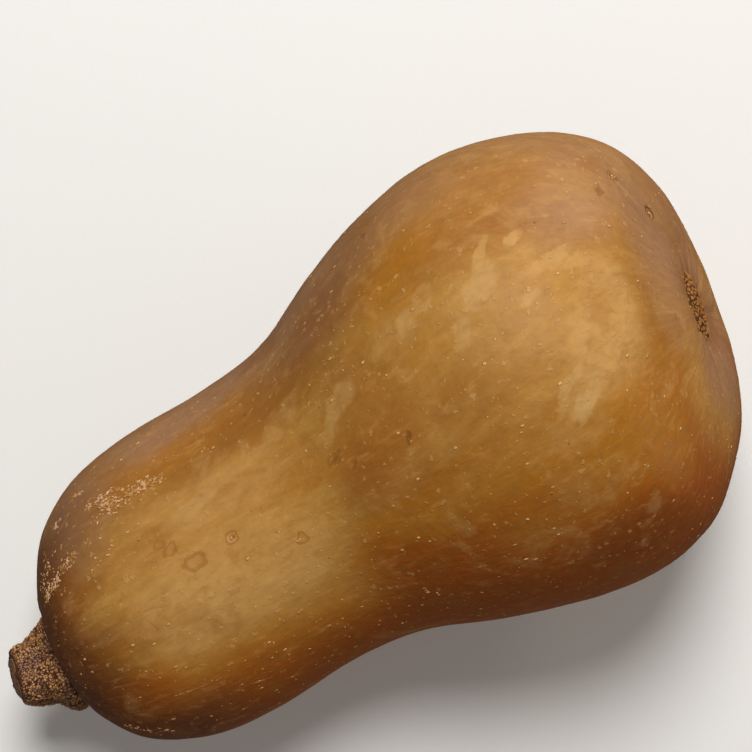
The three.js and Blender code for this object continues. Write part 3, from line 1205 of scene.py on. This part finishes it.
def build_floor(width):
    """A round floor whose edge sweeps up into a low wall."""
    pick_nothing()
    bpy.ops.mesh.primitive_circle_add(vertices=96, radius=width / 2, fill_type="NGON")
    floor = named("floor")
    bpy.ops.object.mode_set(mode="EDIT")
    for k in range(WALL_STEPS):
        choose(floor, lambda edge: edge.is_boundary, "EDGE")
        bpy.ops.mesh.extrude_edges_move()
        steep = (k + 1) / WALL_STEPS * math.pi / 2
        out = 1 + WALL_WIDEN * math.cos(steep)
        bpy.ops.transform.resize(value=(out, out, 1), center_override=(0, 0, 0))
        bpy.ops.transform.translate(value=(0, 0, WALL_LIFT * math.sin(steep)))
    bpy.ops.object.mode_set(mode="OBJECT")
    bpy.ops.object.shade_smooth()
    floor.visible_diffuse = False
    floor.visible_glossy = False
    return floor


def floor_material(colours):
    """The floor's finish; its far part and its wall, which the lights leave dim, glow a little."""
    r = Recipe("plain_floor")
    place = r.object_place()
    fine = r.noise(place, 900.0, 2)
    away = r.put("ShaderNodeVectorMath", {0: place}, operation="LENGTH").outputs[1]
    up = r.put("ShaderNodeSeparateXYZ", {"Vector": place}).outputs[2]
    far_glow = r.window(away, 0.28, 1.1, 0.0, 0.24)
    wall_glow = r.window(up, -0.02, 0.06, 0.0, 0.38)
    glow = r.plus(far_glow, wall_glow)
    glow = {"Emission Color": (1.0, 1.0, 0.99, 1.0), "Emission Strength": glow}
    shade = tuple(c * 0.985 for c in colours.floor)
    base = r.blend(r.window(fine, 0.2, 0.8), colours.floor, shade)
    return r.surface(base, 0.85, r.bump(fine, 0.0001, 0.1), **glow)


def light_world(scene):
    scene.view_settings.view_transform = "Standard"
    world = bpy.data.worlds.new("studio")
    world.use_nodes = True
    background = world.node_tree.nodes["Background"]
    background.inputs[0].default_value = WORLD_COLOUR
    background.inputs[1].default_value = WORLD_STRENGTH
    scene.world = world


def add_light(name, way, away, size, power, tint):
    way = Vector(way).normalized()
    bpy.ops.object.light_add(type="AREA", location=AIM + way * away)
    light = bpy.context.active_object
    light.name = light.data.name = name
    light.rotation_euler = way.to_track_quat("Z", "Y").to_euler()
    light.data.shape = "DISK"
    light.data.size = size
    light.data.energy = power
    light.data.color = tint


def add_camera(scene):
    turn, rise = math.radians(CAMERA_AZIMUTH), math.radians(CAMERA_ELEVATION)
    right = Vector((math.cos(turn), math.sin(turn), 0))
    back = UP.cross(right) * -math.cos(rise) + UP * math.sin(rise)
    bpy.ops.object.camera_add(location=AIM + back * CAMERA_AWAY)
    camera = bpy.context.active_object
    camera.rotation_euler = Matrix((right, back.cross(right), back)).transposed().to_euler()
    camera.data.lens = CAMERA_LENS
    camera.data.sensor_width = CAMERA_SENSOR
    camera.data.clip_start = 0.01
    scene.camera = camera


class SQUASH_OT_stage(bpy.types.Operator):
    """Set the floor, the soft lights and the camera"""

    bl_idname = "squash.stage"
    bl_label = "Stage"

    def execute(self, context):
        scene = context.scene
        floor = build_floor(scene.squash_sizes.floor_width)
        floor.data.materials.append(floor_material(scene.squash_colours))
        light_world(scene)
        for light in LIGHTS:
            add_light(*light)
        add_camera(scene)
        return {"FINISHED"}


class SQUASH_PT_panel(bpy.types.Panel):
    """Every step of the squash, in the order it is built"""

    bl_idname = "SQUASH_PT_panel"
    bl_label = "Butternut squash"
    bl_space_type = "VIEW_3D"
    bl_region_type = "UI"
    bl_category = "Squash"

    def draw(self, context):
        for step in STEPS:
            self.layout.operator(step.bl_idname)
        for group in (context.scene.squash_sizes, context.scene.squash_colours):
            box = self.layout.box()
            for key in group.__annotations__:
                box.prop(group, key)


STEPS = (
    SQUASH_OT_skin, SQUASH_OT_blossom_scar, SQUASH_OT_specks, SQUASH_OT_russet,
    SQUASH_OT_blemishes, SQUASH_OT_stem, SQUASH_OT_stage,
)
CLASSES = (SquashSizes, SquashColours, *STEPS, SQUASH_PT_panel)


def register():
    for item in CLASSES:
        bpy.utils.register_class(item)
    bpy.types.Scene.squash_sizes = PointerProperty(type=SquashSizes)
    bpy.types.Scene.squash_colours = PointerProperty(type=SquashColours)


def unregister():
    del bpy.types.Scene.squash_colours
    del bpy.types.Scene.squash_sizes
    for item in reversed(CLASSES):
        bpy.utils.unregister_class(item)


def main():
    register()
    bpy.ops.squash.skin()
    bpy.ops.squash.blossom_scar()
    bpy.ops.squash.specks()
    bpy.ops.squash.russet()
    bpy.ops.squash.blemishes()
    bpy.ops.squash.stem()
    bpy.ops.squash.stage()
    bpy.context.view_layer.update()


if __name__ == "__main__":
    main()
